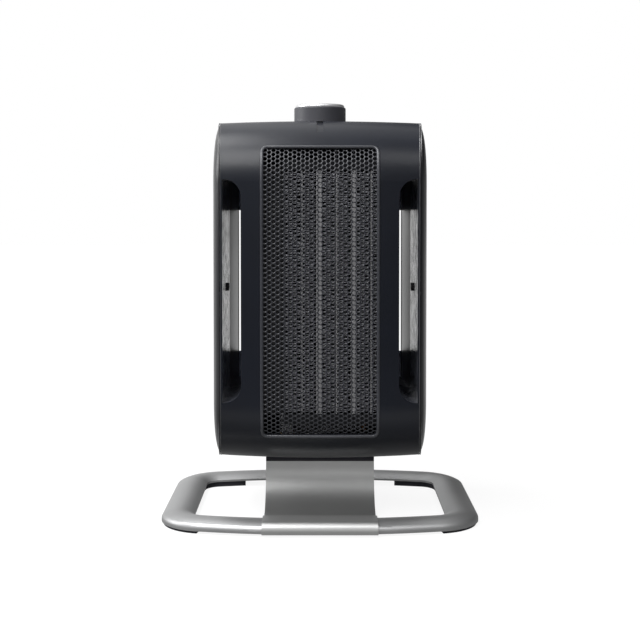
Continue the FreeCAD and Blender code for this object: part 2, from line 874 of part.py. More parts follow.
def build_intake_grille():
    """Slotted plate in the rear cover, on an inner frame that holds a dust filter."""
    low = body_bottom + intake_bottom_rise
    high = body_top - intake_top_drop
    rear_y = body_rear - intake_sunk
    front_y = rear_y - intake_thickness
    outline = rounded_wire((-intake_half_width, low), (intake_half_width, high),
                           [intake_corner_r] * 4, in_xz(front_y))
    span = 2 * (intake_half_width - intake_margin)
    slot_width = (span - (intake_columns - 1) * intake_rib_width) / intake_columns
    rows = int((high - low - 2 * intake_margin + intake_slot_pitch - intake_slot_height)
               / intake_slot_pitch)
    first_z = (low + high - (rows - 1) * intake_slot_pitch - intake_slot_height) / 2
    end_r = intake_slot_height / 2 - running_gap
    slots = []
    for column in range(intake_columns):
        left = intake_margin - intake_half_width + column * (slot_width + intake_rib_width)
        for row in range(rows):
            bottom = first_z + row * intake_slot_pitch
            slots.append(rounded_wire((left, bottom),
                                      (left + slot_width, bottom + intake_slot_height),
                                      [end_r] * 4, in_xz(front_y)))
    sheet = Part.makeFace([outline] + slots, "Part::FaceMakerBullseye")
    grille = sheet.extrude(vec(0, intake_thickness, 0))
    save("intake_grille", grille)

    bow = front_bow * ((intake_half_width + intake_ledge) / cover_half_width) ** 2
    ledge_rear = body_rear - wall - bow - seat_gap
    ledge_front = ledge_rear - intake_ledge
    frame = aperture(intake_half_width + intake_ledge, low - intake_ledge, high + intake_ledge,
                     intake_corner_r + intake_ledge, ledge_front, ledge_rear)
    frame = frame.cut(aperture(intake_half_width - intake_ledge, low + intake_ledge,
                               high - intake_ledge, intake_corner_r, ledge_front, ledge_rear))
    lip = aperture(intake_half_width - slide_gap, low + slide_gap, high - slide_gap,
                   intake_corner_r, ledge_rear, front_y)
    lip = lip.cut(aperture(intake_half_width - intake_ledge, low + intake_ledge,
                           high - intake_ledge, intake_corner_r, ledge_rear, front_y))
    save("intake_frame", frame.fuse(lip).removeSplitter())
    inner = intake_ledge + slide_gap
    save("dust_filter", aperture(intake_half_width - inner, low + inner, high - inner,
                                 intake_corner_r, ledge_front, ledge_rear))


def build_gland():
    """Flanged bush for a mains lead in the rear cover."""
    z = body_bottom + gland_rise
    bow = front_bow * ((gland_x + gland_flange_r) / cover_half_width) ** 2
    inner_bow = front_bow * (max(gland_x - gland_flange_r, 0) / cover_half_width) ** 2
    seat = body_rear - inner_bow + 2 * running_gap
    gland = rod(gland_flange_r, vec(gland_x, seat, z), Y_AXIS, gland_flange_thickness)
    gland = gland.fuse(rod(gland_r, vec(gland_x, seat - gland_length, z), Y_AXIS, gland_length))
    nut = tube(gland_flange_r, gland_r,
               vec(gland_x, body_rear - wall - bow - seat_gap - gland_flange_thickness, z),
               Y_AXIS, gland_flange_thickness)
    bore = rod(gland_bore_r, vec(gland_x, seat - gland_length, z), Y_AXIS,
               gland_length + gland_flange_thickness)
    save("cord_gland", gland.cut(bore))
    save("gland_nut", nut)


# Control


def round_top(shape, top, radius):
    """Rounds the edges of a shape that lie flat at the given height."""
    rims = [edge for edge in shape.Edges if abs(edge.BoundBox.ZMin - top) < running_gap
            and edge.BoundBox.ZLength < running_gap]
    return shape.makeFillet(radius, rims)


def build_control():
    """Rotary switch under the top, its nut and shaft, and the knob with a metal cap."""
    axis = vec(0, knob_y, 0)
    switch = box(-switch_size_x / 2, switch_size_x / 2, knob_y - switch_size_y / 2,
                 knob_y + switch_size_y / 2, switch_top - switch_size_z, switch_top)
    nut_bottom = body_top + 2 * running_gap
    nut_top = nut_bottom + nut_height
    switch = switch.fuse(rod(switch_bush_r, axis + vec(0, 0, switch_top), Z_AXIS,
                             nut_top - switch_top))
    shaft_bottom = switch_top - switch_shaft_depth
    switch = switch.cut(rod(switch_shaft_r + running_gap,
                            axis + vec(0, 0, shaft_bottom - seat_gap), Z_AXIS, body_height))
    save("rotary_switch", switch)

    corners = [math.radians(60 * corner) for corner in range(6)]
    nut_r = nut_across / math.sqrt(3)
    nut = polygon_face([axis + vec(nut_r * math.cos(a), nut_r * math.sin(a), nut_bottom)
                        for a in corners]).extrude(vec(0, 0, nut_height))
    save("switch_nut", nut.cut(rod(switch_bush_r, axis + vec(0, 0, body_top), Z_AXIS,
                                   body_height)))

    shaft_top = knob_bottom + knob_recess_depth + min(
        switch_shaft_engagement, knob_height - knob_recess_depth - cap_height / 2)
    shaft = rod(switch_shaft_r, axis + vec(0, 0, shaft_bottom), Z_AXIS, shaft_top - shaft_bottom)
    save("switch_shaft", shaft)

    knob = rod(knob_r, axis + vec(0, 0, knob_bottom), Z_AXIS, knob_height)
    knob = round_top(knob, knob_top, knob_edge_r)
    knob = knob.cut(rod(knob_recess_r, axis + vec(0, 0, knob_bottom), Z_AXIS, knob_recess_depth))
    knob = knob.cut(shaft)
    save("control_knob", knob)

    cap = rod(cap_r, axis + vec(0, 0, knob_top), Z_AXIS, cap_height)
    cap = round_top(cap, knob_top + cap_height, cap_edge_r)
    mark_front = knob_y - cap_r + cap_edge_r + cap_mark_width
    cap = cap.cut(box(-cap_mark_width / 2, cap_mark_width / 2, mark_front,
                      mark_front + cap_mark_length, knob_top + cap_height - cap_mark_depth,
                      knob_top + cap_height + cap_mark_depth))
    save("knob_cap", cap)


# Heating element


def element_line(index):
    """Middle of one of the upright strips that part the fin columns."""
    return element_left + index * element_pitch


def strip_half(index):
    """Half the thickness of the upright strip at an index: rail, separator or heating bar."""
    if index in (0, element_columns):
        return rail_thickness / 2
    return separator_thickness / 2 if index % 2 else bar_thickness / 2


def upright_strip(index):
    """One upright strip of the element, between the two holders."""
    x = element_line(index)
    half = strip_half(index)
    return box(x - half, x + half, element_front, element_rear, air_bottom, air_top)


def fin_column(index):
    """Folded fin between two upright strips."""
    left = element_line(index) + strip_half(index) + fin_gap
    right = element_line(index + 1) - strip_half(index + 1) - fin_gap
    rise = fin_pitch / 2
    folds = int((air_top - air_bottom - 2 * fin_gap) / rise)
    start = (air_bottom + air_top - folds * rise) / 2
    breadth = fin_thickness * math.hypot(right - left, rise) / rise
    crest = [(right - breadth if fold % 2 else left, start + fold * rise)
             for fold in range(folds + 1)]
    outline = [vec(x, element_front, z) for x, z in crest]
    outline += [vec(x + breadth, element_front, z) for x, z in reversed(crest)]
    return polygon_face(outline).extrude(vec(0, element_depth, 0))


def build_element():
    """Bars, fins and separators between two holders, with terminals and a thermal cut-out."""
    inner = range(1, element_columns)
    save("element_rails", upright_strip(0), upright_strip(element_columns))
    save("separator_plates", *[upright_strip(i) for i in inner if i % 2])
    save("heating_bars", *[upright_strip(i) for i in inner if not i % 2])
    save("fin_columns", *[fin_column(i) for i in range(element_columns)])
    left = element_line(0) - rail_thickness / 2 - holder_overhang
    right = min(element_line(element_columns) + rail_thickness / 2 + holder_overhang, core_inner)
    front = element_front - holder_overhang
    save("element_lower_holder", box(left, right, front, blower_front,
                                     air_bottom - holder_height, air_bottom))
    save("element_upper_holder", box(left, right, front, blower_front,
                                     air_top, air_top + holder_height))
    top = air_top + holder_height
    tabs = [
        box(element_line(i) - terminal_thickness / 2, element_line(i) + terminal_thickness / 2,
            element_middle_y - terminal_width / 2, element_middle_y + terminal_width / 2,
            top, top + terminal_height)
        for i in range(1, element_columns - 1)
    ]
    save("element_terminals", *tabs)
    seat = vec(element_line(element_columns - 1) + element_pitch / 4, element_middle_y, top)
    cutout = rod(cutout_r, seat, Z_AXIS, cutout_height)
    cutout = cutout.fuse(rod(cutout_cap_r, seat + vec(0, 0, cutout_height), Z_AXIS,
                             cutout_cap_height))
    save("thermal_cutout", cutout)


# Blower


def wheel_axis(z):
    """Point on the blower's upright axis."""
    return vec(wheel_x, wheel_y, z)


def build_blower_wheel():
    """Tall wheel of leaning blades between end discs and a middle ring, on its shaft."""
    low = air_bottom + wheel_end_gap
    high = air_top - wheel_end_gap
    blade = box(wheel_r - blade_depth, wheel_r - blade_thickness,
                -blade_thickness / 2, blade_thickness / 2, low, high)
    blade.rotate(vec(wheel_r - blade_depth / 2, 0, 0), Z_AXIS, blade_lean)
    pieces = []
    for index in range(blade_count):
        copy = blade.copy()
        copy.rotate(ORIGIN, Z_AXIS, index * 360 / blade_count)
        copy.translate(wheel_axis(0))
        pieces.append(copy)
    pieces.append(rod(wheel_r, wheel_axis(high - wheel_disc), Z_AXIS, wheel_disc))
    pieces.append(tube(wheel_r, wheel_r - blade_depth,
                       wheel_axis((low + high - wheel_disc) / 2), Z_AXIS, wheel_disc))
    pieces.append(rod(hub_r, wheel_axis(low), Z_AXIS, hub_height))
    pieces.append(rod(hub_r, wheel_axis(high - hub_height), Z_AXIS, hub_height))
    wheel = rod(wheel_r, wheel_axis(low), Z_AXIS, wheel_disc).fuse(pieces)
    wheel = wheel.cut(rod(shaft_r, wheel_axis(body_bottom), Z_AXIS, body_height))
    save("blower_wheel", wheel)

    shaft_low = lower_bush_bottom() + seat_gap
    shaft_high = air_top + bush_height
    save("blower_shaft", rod(shaft_r, wheel_axis(shaft_low), Z_AXIS, shaft_high - shaft_low))


def scroll_start():
    """Angle, seen from the scroll's centre, where it comes nearest to the wheel."""
    centre_x = outlet_face() - scroll_r
    centre_y = wheel_y - scroll_drop
    across = wheel_x - centre_x
    along = wheel_y - centre_y
    distance = math.hypot(across, along)
    near = wheel_r + scroll_gap
    share = (scroll_r ** 2 - near ** 2 + distance ** 2) / (2 * distance * scroll_r)
    return math.degrees(math.atan2(along, across) - math.acos(share))


def outlet_face():
    """Inner face of the duct's right wall."""
    return core_inner - seat_gap - duct_wall


def build_blower_housing():
    """Scroll wall, tongue with its front baffle, and the two end plates."""
    height = air_top - air_bottom
    face_x = outlet_face()
    centre = vec(face_x - scroll_r, wheel_y - scroll_drop, air_bottom)
    sector = Part.makeCylinder(scroll_r + duct_wall, height, centre, Z_AXIS, scroll_start())
    sector = sector.cut(rod(scroll_r, centre, Z_AXIS, height))
    outlet = box(face_x, face_x + duct_wall, blower_front, centre.y, air_bottom, air_top)
    save("scroll_wall", sector.fuse(outlet).removeSplitter())

    tongue_x = element_line(0) - rail_thickness / 2 - holder_overhang
    across = wheel_x - tongue_x
    tongue_end = wheel_y - math.sqrt((wheel_r + tongue_gap) ** 2 - across ** 2)
    tongue = box(tongue_x - tongue_thickness, tongue_x, blower_front, tongue_end,
                 air_bottom, air_top)
    baffle = box(seat_gap - core_inner, tongue_x, blower_front, blower_front + tongue_thickness,
                 air_bottom, air_top)
    save("blower_tongue", tongue.fuse(baffle).removeSplitter())

    rear = centre.y + scroll_r + duct_wall + plate_rear_margin
    lower = box(-plate_half_width, plate_half_width, blower_front, rear,
                air_bottom - plate_thickness, air_bottom)
    upper = box(-plate_half_width, plate_half_width, blower_front, rear,
                air_top, air_top + plate_thickness)
    reach = body_height
    lower = lower.cut(rod(bush_r + seat_gap, wheel_axis(body_bottom), Z_AXIS, reach))
    upper = upper.cut(rod(bush_holder_r, wheel_axis(body_bottom), Z_AXIS, reach))
    save("blower_lower_plate", lower)
    save("blower_upper_plate", upper)

    bush = tube(bush_r, shaft_r + running_gap, wheel_axis(air_top), Z_AXIS, bush_height)
    holder = tube(bush_holder_r, bush_r, wheel_axis(air_top), Z_AXIS, plate_thickness)
    save("upper_bush", bush)
    save("bush_holder", holder)


# Motor


def motor_levels():
    """Heights of the motor's stack and brackets, hung from the blower's lower plate."""
    hanger = air_bottom - plate_thickness
    stack_top = hanger - bracket_thickness - bracket_upper_lift
    stack_bottom = stack_top - motor_stack
    return hanger, stack_top, stack_bottom


def lower_bush_bottom():
    """Underside of the motor's lower bush and bracket."""
    return motor_levels()[2] - bracket_lower_drop - bracket_thickness


def motor_block(x0, x1, half_y, z0, z1):
    """Block placed from the motor's axis."""
    return box(wheel_x + x0, wheel_x + x1, wheel_y - half_y, wheel_y + half_y, z0, z1)


def motor_bracket(bar_bottom, feet_bottom, feet_height):
    """Cross bar on two feet, holed for the bush."""
    half = bracket_width / 2
    bracket = motor_block(-half, half, motor_half_width, bar_bottom,
                          bar_bottom + bracket_thickness)
    for inner in (-motor_half_width, motor_half_width - bracket_foot):
        bracket = bracket.fuse(box(wheel_x - half, wheel_x + half, wheel_y + inner,
                                   wheel_y + inner + bracket_foot, feet_bottom,
                                   feet_bottom + feet_height))
    return bracket.cut(rod(bush_r, wheel_axis(body_bottom), Z_AXIS, body_height)).removeSplitter()


def build_motor():
    """Laminated core with one wound leg, rotor, brackets and their bushes."""
    hanger, stack_top, stack_bottom = motor_levels()
    window_end = window_start + window_width
    leg_end = window_end + leg_width
    core = motor_block(-motor_head, leg_end, motor_half_width, stack_bottom, stack_top)
    core = core.cut(motor_block(window_start, window_end, window_half, stack_bottom, stack_top))
    core = core.cut(rod(rotor_r + air_gap, wheel_axis(stack_bottom), Z_AXIS, motor_stack))
    save("motor_core", core)

    coil_half = window_half - coil_margin
    coil = motor_block(window_end - coil_build, leg_end + coil_build, coil_half,
                       stack_bottom - coil_build, stack_top + coil_build)
    leg = motor_block(window_end, leg_end, motor_half_width, stack_bottom, stack_top)
    save("motor_coil", coil.cut(leg))

    save("motor_rotor", tube(rotor_r, shaft_r, wheel_axis(stack_bottom), Z_AXIS, motor_stack))
    save("motor_upper_bracket", motor_bracket(hanger - bracket_thickness, stack_top,
                                              bracket_upper_lift))
    lower_bar = lower_bush_bottom()
    save("motor_lower_bracket", motor_bracket(lower_bar, lower_bar + bracket_thickness,
                                              bracket_lower_drop))
    lower_height = bracket_thickness + bracket_lower_drop - 2 * seat_gap
    upper_low = stack_top + 2 * seat_gap
    save("motor_bushes",
         tube(bush_r, shaft_r + running_gap, wheel_axis(lower_bar), Z_AXIS, lower_height),
         tube(bush_r, shaft_r + running_gap, wheel_axis(upper_low), Z_AXIS, hanger - upper_low))


# Safety switch and wiring block


def build_tip_switch():
    """Stirrup on the support plate, its pin, and the weight that swings on it."""
    half_width = tip_width / 2
    front = tip_y - half_width
    rear = tip_y + half_width
    base_top = support_top + tip_plate
    pin_z = support_top + tip_pin_height
    stirrup = box(tip_x - tip_length / 2, tip_x + tip_length / 2, front, rear,
                  support_top, base_top)
    for ear_front in (front, rear - tip_plate):
        stirrup = stirrup.fuse(box(tip_x - tip_ear_width / 2, tip_x + tip_ear_width / 2,
                                   ear_front, ear_front + tip_plate, base_top,
                                   pin_z + tip_ear_top))
    pin = rod(tip_pin_r, vec(tip_x, front, pin_z), Y_AXIS, tip_width)
    save("tip_switch_stirrup", stirrup.removeSplitter().cut(pin))
    save("tip_switch_pin", pin)

    bob_width_clear = min(bob_width, tip_width - 2 * tip_plate - 2 * seat_gap)
    bob_front = tip_y - bob_width_clear / 2
    eye = rod(bob_eye_r, vec(tip_x, bob_front, pin_z), Y_AXIS, bob_width_clear)
    arm = box(tip_x - bob_arm_width / 2, tip_x + bob_arm_width / 2, bob_front,
              bob_front + bob_width_clear, pin_z - bob_arm, pin_z)
    bob = rod(bob_r, vec(tip_x, bob_front, pin_z - bob_arm), Y_AXIS, bob_width_clear)
    weight = eye.fuse([arm, bob]).removeSplitter()
    hole = rod(tip_pin_r + running_gap, vec(tip_x, front, pin_z), Y_AXIS, tip_width)
    save("tip_switch_weight", weight.cut(hole))


def build_terminal_block():
    """Mains terminal block on the support plate."""
    left = block_x - block_length / 2
    block = box(left, left + block_length, block_y - block_width / 2, block_y + block_width / 2,
                support_top, support_top + block_height)
    step = block_length / block_poles
    for pole in range(block_poles):
        top = vec(left + (pole + 0.5) * step, block_y, support_top + block_height)
        block = block.cut(rod(block_hole_r, top - Z_AXIS * block_hole_depth, Z_AXIS,
                              block_hole_depth))
    save("terminal_block", block)


os.makedirs("parts", exist_ok=True)
build_ring()
build_pads()
build_strip()
build_support()
build_shell()
build_slot_liners()
build_side_panels()
build_front_grille()
build_intake_grille()
build_gland()
build_control()
build_element()
build_blower_wheel()
build_blower_housing()
build_motor()
build_tip_switch()
build_terminal_block()
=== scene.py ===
"""Looks of an upright fan heater on an open ring base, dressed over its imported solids."""

import json
import logging
import math
from dataclasses import dataclass, field
from enum import Enum

import bmesh
import bpy
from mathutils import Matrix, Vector


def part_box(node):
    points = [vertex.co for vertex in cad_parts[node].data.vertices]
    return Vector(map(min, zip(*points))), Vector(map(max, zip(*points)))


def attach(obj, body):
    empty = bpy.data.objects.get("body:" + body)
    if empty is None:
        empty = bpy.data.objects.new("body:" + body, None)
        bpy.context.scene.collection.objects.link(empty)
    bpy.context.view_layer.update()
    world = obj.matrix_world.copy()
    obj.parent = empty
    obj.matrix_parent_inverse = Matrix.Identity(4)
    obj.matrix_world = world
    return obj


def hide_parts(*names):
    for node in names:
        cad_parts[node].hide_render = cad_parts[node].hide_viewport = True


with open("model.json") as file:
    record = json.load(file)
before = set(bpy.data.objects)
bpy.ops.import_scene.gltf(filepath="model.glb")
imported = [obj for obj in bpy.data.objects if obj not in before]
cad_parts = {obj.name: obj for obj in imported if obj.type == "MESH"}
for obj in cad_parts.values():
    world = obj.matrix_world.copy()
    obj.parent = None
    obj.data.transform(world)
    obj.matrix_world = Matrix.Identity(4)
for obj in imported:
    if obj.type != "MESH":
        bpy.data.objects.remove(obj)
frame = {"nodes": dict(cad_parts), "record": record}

LOG = logging.getLogger("fan_heater")
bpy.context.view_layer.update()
HOUSING = "housing"
MM = 0.001
X_AXIS = Vector((1.0, 0.0, 0.0))
Y_AXIS = Vector((0.0, 1.0, 0.0))
Z_AXIS = Vector((0.0, 0.0, 1.0))
WHITE = (1.0, 1.0, 1.0, 1.0)
SMOOTH_ANGLE = 32.0

# Noises of the finishes: their detail, the scale of the broad one, and the part of their range in use.
FINE_DETAIL = 3.0
BROAD_DETAIL = 4.0
BROAD_SCALE = 28.0
NOISE_SPAN = (0.3, 0.7)
LEAST_ROUGHNESS = 0.02

# Worn edges: the pointiness over which they fade in, and how much paler than the tint they are.
EDGE_SPAN = (0.52, 0.62)
EDGE_GAIN = 1.7
EDGE_LIFT = 0.02

Socket = bpy.types.NodeSocket


class Grain(Enum):
    """Kinds of fine surface that a finish can carry, as stretches of its noise along x, y, z."""

    MOULDED = (1.0, 1.0, 1.0)
    ALONG_X = (0.03, 1.0, 1.0)
    ALONG_Z = (1.0, 1.0, 0.03)


class Hand(Enum):
    """Sides of the heater as seen from its front, with the sign of their x."""

    LEFT = -1
    RIGHT = 1

    def label(self, piece: str) -> str:
        """Name of this side's copy of a piece."""
        return self.name.lower() + "_" + piece


class Graph:
    """Short way to write the nodes of a material or of the world."""

    def __init__(self, owner: bpy.types.Material | bpy.types.World) -> None:
        """Starts with an empty node tree.

        Args:
            owner: Material or world that the nodes belong to.
        """
        owner.use_nodes = True
        self.owner = owner
        self.tree = owner.node_tree
        self.tree.nodes.clear()

    def add(self, kind: str, inputs: dict | None = None, **settings: object) -> bpy.types.Node:
        """Adds one node.

        Args:
            kind: Blender's name of the node type.
            inputs: Values or sockets for the node's inputs, by name or number.
            **settings: Attributes of the node.

        Returns:
            The new node.
        """
        node = self.tree.nodes.new(kind)
        for key, value in settings.items():
            setattr(node, key, value)
        for key, value in (inputs or {}).items():
            if isinstance(value, Socket):
                self.tree.links.new(value, node.inputs[key])
            else:
                node.inputs[key].default_value = value
        return node

    def ramp(self, factor: Socket, span: tuple[float, float], values: tuple[float, float]) -> Socket:
        """Maps a factor between two limits to a range of values.

        Args:
            factor: Socket to read.
            span: Factor at the start and at the end.
            values: Value at the start and at the end.

        Returns:
            The mapped socket.
        """
        node = self.add("ShaderNodeMapRange", {"Value": factor, "From Min": span[0], "From Max": span[1],
                                               "To Min": values[0], "To Max": values[1]})
        return node.outputs["Result"]

    def compute(self, operation: str, *values: float | Socket) -> Socket:
        """Result of one math node on the given values."""
        return self.add("ShaderNodeMath", dict(enumerate(values)), operation=operation).outputs[0]

    def mix(self, factor: Socket, first: float | Socket, second: float | Socket) -> Socket:
        """Result of a mix of two values by a factor."""
        return self.add("ShaderNodeMix", {"Factor": factor, "A": first, "B": second}).outputs["Result"]

    def rays(self) -> tuple[Socket, Socket]:
        """Tells kinds of rays apart.

        Returns:
            A socket that is 1 for what is seen directly or through glass, and one that is 1 for gloss.
        """
        path = self.add("ShaderNodeLightPath").outputs
        seen = self.compute("MAXIMUM", path["Is Camera Ray"], path["Is Transmission Ray"])
        return seen, path["Is Glossy Ray"]


@dataclass(frozen=True)
class Finish:
    """One surface finish: a tint with drift, a roughness with drift, a grain and worn edges."""

    name: str
    tint: tuple[float, float, float]
    roughness: float
    metallic: float = 0.0
    grain: Grain = Grain.MOULDED
    grain_size: float = 0.4 * MM
    grain_depth: float = 0.01 * MM
    drift: float = 0.12
    wear: float = 0.25
    specular: float = 0.5

    def material(self) -> bpy.types.Material:
        """Builds the node material.

        Returns:
            The material, made once and then reused.
        """
        known = bpy.data.materials.get(self.name)
        if known:
            return known
        graph = Graph(bpy.data.materials.new(self.name))
        place = graph.add("ShaderNodeTexCoord").outputs["Object"]
        along = graph.add("ShaderNodeMapping", {"Vector": place, "Scale": self.grain.value})
        fine = graph.add("ShaderNodeTexNoise", {"Vector": along.outputs["Vector"],
                                                "Scale": 1 / self.grain_size, "Detail": FINE_DETAIL})
        broad = graph.add("ShaderNodeTexNoise", {"Vector": place, "Scale": BROAD_SCALE,
                                                 "Detail": BROAD_DETAIL})
        edges = graph.add("ShaderNodeNewGeometry").outputs["Pointiness"]
        worn = graph.ramp(edges, EDGE_SPAN, (0.0, self.wear))
        shade = graph.ramp(broad.outputs["Fac"], NOISE_SPAN, (1 - self.drift, 1 + self.drift))
        tinted = graph.add("ShaderNodeVectorMath", {0: self.tint, "Scale": shade}, operation="SCALE")
        edge_tint = [min(1.0, EDGE_GAIN * value + EDGE_LIFT) for value in self.tint] + [1.0]
        colour = graph.add("ShaderNodeMix", {"Factor": worn, "A": tinted.outputs["Vector"],
                                             "B": edge_tint}, data_type="RGBA")
        spread = graph.ramp(fine.outputs["Fac"], NOISE_SPAN,
                            (max(LEAST_ROUGHNESS, self.roughness * (1 - self.drift)),
                             min(1.0, self.roughness * (1 + self.drift))))
        bump = graph.add("ShaderNodeBump", {"Height": fine.outputs["Fac"], "Strength": 1.0,
                                            "Distance": self.grain_depth})
        shader = graph.add("ShaderNodeBsdfPrincipled", {
            "Base Color": colour.outputs["Result"], "Roughness": spread, "Metallic": self.metallic,
            "Normal": bump.outputs["Normal"], "Specular IOR Level": self.specular})
        graph.add("ShaderNodeOutputMaterial", {"Surface": shader.outputs["BSDF"]})
        return graph.owner


BODY_BLACK = Finish("body_black_moulding", (0.0040, 0.0055, 0.0105), 0.34, grain_size=0.5 * MM,
                    grain_depth=0.004 * MM, wear=0.03, specular=0.27)
PANEL_BLACK = Finish("side_panel_moulding", (0.0060, 0.0066, 0.0085), 0.32, grain_size=0.5 * MM,
                     grain_depth=0.004 * MM, wear=0.03, specular=0.4)
# Seam beads: a real rounding, with a tint far paler than the black mouldings that paints a highlight line.
EDGE_PAINTED_HIGHLIGHT = Finish("seam_painted_highlight", (0.090, 0.091, 0.096), 0.25, grain_depth=0.002 * MM, wear=0.0)
BEZEL_SATIN = Finish("bezel_satin", (0.034, 0.036, 0.044), 0.32, grain_depth=0.003 * MM, wear=0.1)
# Front slot liners: a grey tint far paler than their black plastic paints light inside the slots; the
# speckled bump is the surface's own.
SPECKLED_LINER_PAINTED_LIGHT = Finish("speckled_gloss_painted_light", (0.100, 0.106, 0.128), 0.17, grain_size=9.0 * MM,
                     grain_depth=0.7 * MM, drift=0.5, wear=0.05)
# Rear slot liners: a grey tint paler than their black plastic paints light inside the slots.
SMOOTH_LINER_PAINTED_LIGHT = Finish("smooth_gloss_painted_light", (0.070, 0.074, 0.090), 0.33, grain_depth=0.004 * MM, wear=0.05,
                      specular=0.45)
# Pale blue-grey tint of the slot end plates: painted light inside the slots, far paler than the black
# mouldings round them.
SLOT_END_PAINTED_LIGHT = Finish("slot_end_painted_light", (0.34, 0.38, 0.48), 0.55, grain_depth=0.004 * MM, wear=0.0)
GRILLE_PAINT = Finish("painted_grille", (0.0125, 0.0135, 0.0195), 0.34, grain_depth=0.006 * MM, wear=0.2)
RING_METAL = Finish("silver_paint", (0.30, 0.302, 0.305), 0.45, 0.8, grain_size=0.35 * MM,
                    grain_depth=0.005 * MM, drift=0.04, wear=0.15)
STRIP_METAL = Finish("brushed_strip", (0.33, 0.332, 0.330), 0.38, 0.8, grain=Grain.ALONG_X,
                     grain_size=0.3 * MM, grain_depth=0.006 * MM, drift=0.04, wear=0.15)
RUBBER = Finish("pad_rubber", (0.012, 0.012, 0.018), 0.8, grain_size=0.6 * MM, grain_depth=0.03 * MM)
KNOB_BLACK = Finish("knob_moulding", (0.032, 0.0325, 0.040), 0.5, grain_size=0.3 * MM,
                    grain_depth=0.01 * MM)
CAP_METAL = Finish("turned_cap", (0.56, 0.56, 0.57), 0.32, 0.7, grain_size=0.25 * MM,
                   grain_depth=0.004 * MM, drift=0.05)
# Near-black tint of the element holders and the thermal cutout: painted shade behind the grille, darker
# than the other inner mouldings.
FRAME_PAINTED_SHADE = Finish("element_frame_painted_shade", (0.0045, 0.0050, 0.0070), 0.6, grain_depth=0.01 * MM, wear=0.0,
                     specular=0.25)
BAR_METAL = Finish("anodised_bar", (0.34, 0.34, 0.35), 0.5, 0.6, grain=Grain.ALONG_Z, drift=0.2)
FIN_METAL = Finish("rolled_fin", (0.43, 0.435, 0.475), 0.42, 1.0, grain=Grain.ALONG_Z, drift=0.2)
BLUED_STEEL = Finish("blued_steel", (0.060, 0.062, 0.070), 0.45, 0.8)
CERAMIC = Finish("fired_ceramic", (0.52, 0.48, 0.40), 0.7, grain_size=0.5 * MM, grain_depth=0.02 * MM)
SCREW_BLACK = Finish("blackened_screw", (0.010, 0.010, 0.012), 0.5, 0.4)
INNER_BLACK = Finish("inner_moulding", (0.018, 0.018, 0.022), 0.55, grain_depth=0.01 * MM)
FILTER_FOAM = Finish("filter_foam", (0.008, 0.008, 0.009), 0.95, grain_size=1.2 * MM,
                     grain_depth=0.4 * MM, wear=0.0)
ZINC = Finish("zinc_plate", (0.55, 0.55, 0.56), 0.35, 1.0, drift=0.2)
BRONZE = Finish("sintered_bronze", (0.50, 0.33, 0.15), 0.45, 1.0)
COPPER = Finish("varnished_copper", (0.20, 0.085, 0.035), 0.35, 1.0, grain=Grain.ALONG_X,
                grain_size=0.8 * MM, grain_depth=0.15 * MM)
CORE_STEEL = Finish("stacked_laminations", (0.20, 0.20, 0.21), 0.5, 1.0, grain_size=0.9 * MM,
                    grain_depth=0.05 * MM)

SLOT_FINISH = {
    "base_metal": RING_METAL, "strip_metal": STRIP_METAL, "rubber": RUBBER,
    # The liner finish is paler than black plastic: painted light inside the slots.
    "body_black": BODY_BLACK, "liner_gloss": SPECKLED_LINER_PAINTED_LIGHT, "grille_metal": GRILLE_PAINT,
    "knob_black": KNOB_BLACK, "cap_metal": CAP_METAL, "inner_plastic": INNER_BLACK,
    "steel": ZINC, "element_metal": FIN_METAL, "ceramic": CERAMIC, "bronze": BRONZE,
    "copper_wire": COPPER, "core_steel": CORE_STEEL, "filter_foam": FILTER_FOAM,
}
NODE_FINISH = {
    # The rear liners' finish is paler than black plastic: painted light inside the slots.
    "left_rear_liner": SMOOTH_LINER_PAINTED_LIGHT, "right_rear_liner": SMOOTH_LINER_PAINTED_LIGHT,
    "left_side_panel": PANEL_BLACK, "right_side_panel": PANEL_BLACK,
    "side_panel_screws": SCREW_BLACK, "element_rails": BLUED_STEEL,
    "heating_bars": BAR_METAL, "separator_plates": BAR_METAL,
    # The element holders and the thermal cutout get a near-black tint that paints the shade behind the
    # grille.
    "element_lower_holder": FRAME_PAINTED_SHADE, "element_upper_holder": FRAME_PAINTED_SHADE,
    "element_terminals": BLUED_STEEL, "thermal_cutout": FRAME_PAINTED_SHADE,
}


def new_piece(name: str, build: bmesh.types.BMesh, finish: Finish, body: str
              ) -> bpy.types.Object:
    """Makes a scene object from a mesh and lets it ride on a body.

    Args:
        name: Name of the piece.
        build: Mesh in metres; it is freed here.
        finish: Finish that it gets.
        body: Body that it moves with.

    Returns:
        The new object.
    """
    mesh = bpy.data.meshes.new(name)
    build.to_mesh(mesh)
    build.free()
    piece = bpy.data.objects.new(name, mesh)
    bpy.context.scene.collection.objects.link(piece)
    mesh.materials.append(finish.material())
    smooth(mesh)
    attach(piece, body)
    LOG.info("%s: %d faces", name, len(mesh.polygons))
    return piece


def smooth(mesh: bpy.types.Mesh, angle: float = SMOOTH_ANGLE) -> None:
    """Shades a mesh smooth up to an angle in degrees between faces."""
    mesh.shade_smooth()
    mesh.set_sharp_from_angle(angle=math.radians(angle))


def sweep(points: list[Vector], profile: list[tuple[float, float]], across: Vector) -> bmesh.types.BMesh:
    """Sweeps a closed profile round a closed path.

    Args:
        points: Path in metres.
        profile: Corners of the profile, as steps sideways from the path and steps along across.
        across: Direction that stays the profile's second axis.

    Returns:
        The closed mesh.
    """
    build = bmesh.new()
    rings = []
    for index, point in enumerate(points):
        heading = points[(index + 1) % len(points)] - points[index - 1]
        sideways = heading.cross(across).normalized()
        rings.append([build.verts.new(point + sideways * a + across * b) for a, b in profile])
    for index, ring in enumerate(rings):
        after = rings[(index + 1) % len(rings)]
        for corner in range(len(profile)):
            then = (corner + 1) % len(profile)
            build.faces.new((ring[corner], ring[then], after[then], after[corner]))
    bmesh.ops.recalc_face_normals(build, faces=build.faces)
    return build


